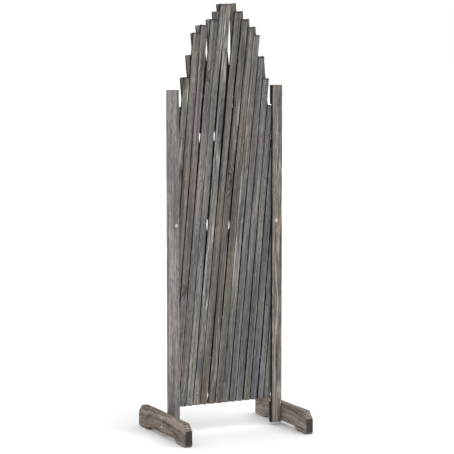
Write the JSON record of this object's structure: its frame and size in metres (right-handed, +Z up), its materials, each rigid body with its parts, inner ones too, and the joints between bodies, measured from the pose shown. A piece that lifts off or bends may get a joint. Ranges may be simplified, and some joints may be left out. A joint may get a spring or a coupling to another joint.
{
  "type": "folding room divider screen",
  "caption": "Free-standing expanding lattice screen: crossed wooden slats riveted between two posts on foot boards, with a stepped gable top.",
  "frame": {"origin": "on the floor, midway between the posts and midway through their depth", "axes": "+X to the right seen from the front, -Y to the front, +Z up"},
  "size_m": [0.598, 0.474, 1.7994],
  "materials": {
    "slat_wood": "weathered grey-brown stain on rough-sawn softwood",
    "post_wood": "weathered grey-brown stain on planed softwood",
    "foot_wood": "weathered grey-brown stain on planed softwood",
    "zinc_steel": "bright zinc plate",
    "rivet_steel": "dull stained steel"
  },
  "bodies": {
    "left_stand": {"left_post_face": "post_wood", "left_post_cheek": "post_wood", "left_post_blocks": "post_wood", "left_foot": "foot_wood", "left_foot_screws": "zinc_steel", "left_pivot_bolt": "zinc_steel"},
    "right_stand": {"right_post_face": "post_wood", "right_post_cheek": "post_wood", "right_post_blocks": "post_wood", "right_foot": "foot_wood", "right_foot_screws": "zinc_steel", "right_pivot_bolt": "zinc_steel"},
    "front_01": {"front_slat_01": "slat_wood", "rivets_01": "rivet_steel"},
    "front_02": {"front_slat_02": "slat_wood", "rivets_02": "rivet_steel"},
    "front_03": {"front_slat_03": "slat_wood", "rivets_03": "rivet_steel"},
    "front_04": {"front_slat_04": "slat_wood", "rivets_04": "rivet_steel"},
    "front_05": {"front_slat_05": "slat_wood", "rivets_05": "rivet_steel"},
    "front_06": {"front_slat_06": "slat_wood", "rivets_06": "rivet_steel"},
    "front_07": {"front_slat_07": "slat_wood", "rivets_07": "rivet_steel"},
    "front_08": {"front_slat_08": "slat_wood", "rivets_08": "rivet_steel"},
    "front_09": {"front_slat_09": "slat_wood", "rivets_09": "rivet_steel"},
    "front_10": {"front_slat_10": "slat_wood", "rivets_10": "rivet_steel"},
    "front_11": {"front_slat_11": "slat_wood", "rivets_11": "rivet_steel"},
    "front_12": {"front_slat_12": "slat_wood", "rivets_12": "rivet_steel"},
    "front_13": {"front_slat_13": "slat_wood", "rivets_13": "rivet_steel"},
    "front_14": {"front_slat_14": "slat_wood", "rivets_14": "rivet_steel"},
    "front_15": {"front_slat_15": "slat_wood", "rivets_15": "rivet_steel"},
    "front_16": {"front_slat_16": "slat_wood", "rivets_16": "rivet_steel"},
    "rear_01": {"rear_slat_01": "slat_wood"},
    "rear_02": {"rear_slat_02": "slat_wood"},
    "rear_03": {"rear_slat_03": "slat_wood"},
    "rear_04": {"rear_slat_04": "slat_wood"},
    "rear_05": {"rear_slat_05": "slat_wood"},
    "rear_06": {"rear_slat_06": "slat_wood"},
    "rear_07": {"rear_slat_07": "slat_wood"},
    "rear_08": {"rear_slat_08": "slat_wood"},
    "rear_09": {"rear_slat_09": "slat_wood"},
    "rear_10": {"rear_slat_10": "slat_wood"},
    "rear_11": {"rear_slat_11": "slat_wood"},
    "rear_12": {"rear_slat_12": "slat_wood"},
    "rear_13": {"rear_slat_13": "slat_wood"},
    "rear_14": {"rear_slat_14": "slat_wood"},
    "rear_15": {"rear_slat_15": "slat_wood"},
    "rear_16": {"rear_slat_16": "slat_wood"}
  },
  "joints": [
    {"name": "lattice_fold", "type": "hinge", "parent": "left_stand", "child": "front_01", "pos_m": [-0.22983, 0.0082, 0.885], "axis": [0, 1, 0], "range_deg": [0, 24.8]},
    {"name": "rear_02_pivot", "type": "hinge", "parent": "left_stand", "child": "rear_02", "pos_m": [-0.22983, 0.0082, 0.885], "axis": [0, 1, 0], "range_deg": [-24.8, 0]},
    {"name": "rear_03_pivot", "type": "hinge", "parent": "front_01", "child": "rear_03", "pos_m": [-0.21319, 0.0082, 1.06599], "axis": [0, 1, 0], "range_deg": [-49.6, 0]},
    {"name": "rear_04_pivot", "type": "hinge", "parent": "front_01", "child": "rear_04", "pos_m": [-0.19656, 0.0082, 1.24697], "axis": [0, 1, 0], "range_deg": [-49.6, 0]},
    {"name": "rear_05_pivot", "type": "hinge", "parent": "front_01", "child": "rear_05", "pos_m": [-0.17994, 0.0082, 1.42796], "axis": [0, 1, 0], "range_deg": [-49.6, 0]},
    {"name": "front_02_pivot", "type": "hinge", "parent": "rear_05", "child": "front_02", "pos_m": [-0.1633, 0.0082, 1.24697], "axis": [0, 1, 0], "range_deg": [0, 49.6]},
    {"name": "front_03_pivot", "type": "hinge", "parent": "rear_05", "child": "front_03", "pos_m": [-0.14667, 0.0082, 1.06599], "axis": [0, 1, 0], "range_deg": [0, 49.6]},
    {"name": "front_04_pivot", "type": "hinge", "parent": "rear_05", "child": "front_04", "pos_m": [-0.13004, 0.0082, 0.885], "axis": [0, 1, 0], "range_deg": [0, 49.6]},
    {"name": "front_05_pivot", "type": "hinge", "parent": "rear_05", "child": "front_05", "pos_m": [-0.11341, 0.0082, 0.70401], "axis": [0, 1, 0], "range_deg": [0, 49.6]},
    {"name": "front_06_pivot", "type": "hinge", "parent": "rear_05", "child": "front_06", "pos_m": [-0.09678, 0.0082, 0.52302], "axis": [0, 1, 0], "range_deg": [0, 49.6]},
    {"name": "front_07_pivot", "type": "hinge", "parent": "rear_05", "child": "front_07", "pos_m": [-0.08015, 0.0082, 0.34204], "axis": [0, 1, 0], "range_deg": [0, 49.6]},
    {"name": "front_08_pivot", "type": "hinge", "parent": "rear_05", "child": "front_08", "pos_m": [-0.06352, 0.0082, 0.16105], "axis": [0, 1, 0], "range_deg": [0, 49.6]},
    {"name": "rear_01_pivot", "type": "hinge", "parent": "front_03", "child": "rear_01", "pos_m": [-0.21319, 0.0082, 0.34204], "axis": [0, 1, 0], "range_deg": [-49.6, 0]},
    {"name": "rear_06_pivot", "type": "hinge", "parent": "front_08", "child": "rear_06", "pos_m": [-0.04689, 0.0082, 0.34204], "axis": [0, 1, 0], "range_deg": [-49.6, 0]},
    {"name": "rear_07_pivot", "type": "hinge", "parent": "front_08", "child": "rear_07", "pos_m": [-0.03026, 0.0082, 0.52302], "axis": [0, 1, 0], "range_deg": [-49.6, 0]},
    {"name": "rear_08_pivot", "type": "hinge", "parent": "front_08", "child": "rear_08", "pos_m": [-0.01363, 0.0082, 0.70401], "axis": [0, 1, 0], "range_deg": [-49.6, 0]},
    {"name": "rear_09_pivot", "type": "hinge", "parent": "front_08", "child": "rear_09", "pos_m": [0.003, 0.0082, 0.885], "axis": [0, 1, 0], "range_deg": [-49.6, 0]},
    {"name": "rear_10_pivot", "type": "hinge", "parent": "front_08", "child": "rear_10", "pos_m": [0.01963, 0.0082, 1.06599], "axis": [0, 1, 0], "range_deg": [-49.6, 0]},
    {"name": "rear_11_pivot", "type": "hinge", "parent": "front_08", "child": "rear_11", "pos_m": [0.03626, 0.0082, 1.24697], "axis": [0, 1, 0], "range_deg": [-49.6, 0]},
    {"name": "rear_12_pivot", "type": "hinge", "parent": "front_08", "child": "rear_12", "pos_m": [0.05289, 0.0082, 1.42796], "axis": [0, 1, 0], "range_deg": [-49.6, 0]},
    {"name": "rear_13_pivot", "type": "hinge", "parent": "front_08", "child": "rear_13", "pos_m": [0.06952, 0.0082, 1.60895], "axis": [0, 1, 0], "range_deg": [-49.6, 0]},
    {"name": "front_09_pivot", "type": "hinge", "parent": "rear_13", "child": "front_09", "pos_m": [0.08615, 0.0082, 1.42796], "axis": [0, 1, 0], "range_deg": [0, 49.6]},
    {"name": "front_10_pivot", "type": "hinge", "parent": "rear_13", "child": "front_10", "pos_m": [0.10278, 0.0082, 1.24697], "axis": [0, 1, 0], "range_deg": [0, 49.6]},
    {"name": "front_11_pivot", "type": "hinge", "parent": "rear_13", "child": "front_11", "pos_m": [0.11941, 0.0082, 1.06599], "axis": [0, 1, 0], "range_deg": [0, 49.6]},
    {"name": "front_12_pivot", "type": "hinge", "parent": "rear_13", "child": "front_12", "pos_m": [0.13604, 0.0082, 0.885], "axis": [0, 1, 0], "range_deg": [0, 49.6]},
    {"name": "front_13_pivot", "type": "hinge", "parent": "rear_13", "child": "front_13", "pos_m": [0.15267, 0.0082, 0.70401], "axis": [0, 1, 0], "range_deg": [0, 49.6]},
    {"name": "front_14_pivot", "type": "hinge", "parent": "rear_13", "child": "front_14", "pos_m": [0.1693, 0.0082, 0.52302], "axis": [0, 1, 0], "range_deg": [0, 49.6]},
    {"name": "front_15_pivot", "type": "hinge", "parent": "rear_13", "child": "front_15", "pos_m": [0.18593, 0.0082, 0.34204], "axis": [0, 1, 0], "range_deg": [0, 49.6]},
    {"name": "front_16_pivot", "type": "hinge", "parent": "rear_13", "child": "front_16", "pos_m": [0.20256, 0.0082, 0.16105], "axis": [0, 1, 0], "range_deg": [0, 49.6]},
    {"name": "rear_14_pivot", "type": "hinge", "parent": "front_12", "child": "rear_14", "pos_m": [0.15267, 0.0082, 1.06599], "axis": [0, 1, 0], "range_deg": [-49.6, 0]},
    {"name": "rear_15_pivot", "type": "hinge", "parent": "front_12", "child": "rear_15", "pos_m": [0.1693, 0.0082, 1.24697], "axis": [0, 1, 0], "range_deg": [-49.6, 0]},
    {"name": "rear_16_pivot", "type": "hinge", "parent": "front_12", "child": "rear_16", "pos_m": [0.18593, 0.0082, 1.42796], "axis": [0, 1, 0], "range_deg": [-49.6, 0]},
    {"name": "right_stand_pivot", "type": "hinge", "parent": "front_15", "child": "right_stand", "pos_m": [0.23583, 0.0082, 0.885], "axis": [0, 1, 0], "range_deg": [-24.8, 0]}
  ],
  "couplings": [
    {"joint": "rear_02_pivot", "follows": "lattice_fold", "ratio": -1},
    {"joint": "rear_03_pivot", "follows": "lattice_fold", "ratio": -2},
    {"joint": "rear_04_pivot", "follows": "lattice_fold", "ratio": -2},
    {"joint": "rear_05_pivot", "follows": "lattice_fold", "ratio": -2},
    {"joint": "front_02_pivot", "follows": "lattice_fold", "ratio": 2},
    {"joint": "front_03_pivot", "follows": "lattice_fold", "ratio": 2},
    {"joint": "front_04_pivot", "follows": "lattice_fold", "ratio": 2},
    {"joint": "front_05_pivot", "follows": "lattice_fold", "ratio": 2},
    {"joint": "front_06_pivot", "follows": "lattice_fold", "ratio": 2},
    {"joint": "front_07_pivot", "follows": "lattice_fold", "ratio": 2},
    {"joint": "front_08_pivot", "follows": "lattice_fold", "ratio": 2},
    {"joint": "rear_01_pivot", "follows": "lattice_fold", "ratio": -2},
    {"joint": "rear_06_pivot", "follows": "lattice_fold", "ratio": -2},
    {"joint": "rear_07_pivot", "follows": "lattice_fold", "ratio": -2},
    {"joint": "rear_08_pivot", "follows": "lattice_fold", "ratio": -2},
    {"joint": "rear_09_pivot", "follows": "lattice_fold", "ratio": -2},
    {"joint": "rear_10_pivot", "follows": "lattice_fold", "ratio": -2},
    {"joint": "rear_11_pivot", "follows": "lattice_fold", "ratio": -2},
    {"joint": "rear_12_pivot", "follows": "lattice_fold", "ratio": -2},
    {"joint": "rear_13_pivot", "follows": "lattice_fold", "ratio": -2},
    {"joint": "front_09_pivot", "follows": "lattice_fold", "ratio": 2},
    {"joint": "front_10_pivot", "follows": "lattice_fold", "ratio": 2},
    {"joint": "front_11_pivot", "follows": "lattice_fold", "ratio": 2},
    {"joint": "front_12_pivot", "follows": "lattice_fold", "ratio": 2},
    {"joint": "front_13_pivot", "follows": "lattice_fold", "ratio": 2},
    {"joint": "front_14_pivot", "follows": "lattice_fold", "ratio": 2},
    {"joint": "front_15_pivot", "follows": "lattice_fold", "ratio": 2},
    {"joint": "front_16_pivot", "follows": "lattice_fold", "ratio": 2},
    {"joint": "rear_14_pivot", "follows": "lattice_fold", "ratio": -2},
    {"joint": "rear_15_pivot", "follows": "lattice_fold", "ratio": -2},
    {"joint": "rear_16_pivot", "follows": "lattice_fold", "ratio": -2},
    {"joint": "right_stand_pivot", "follows": "lattice_fold", "ratio": -1}
  ]
}
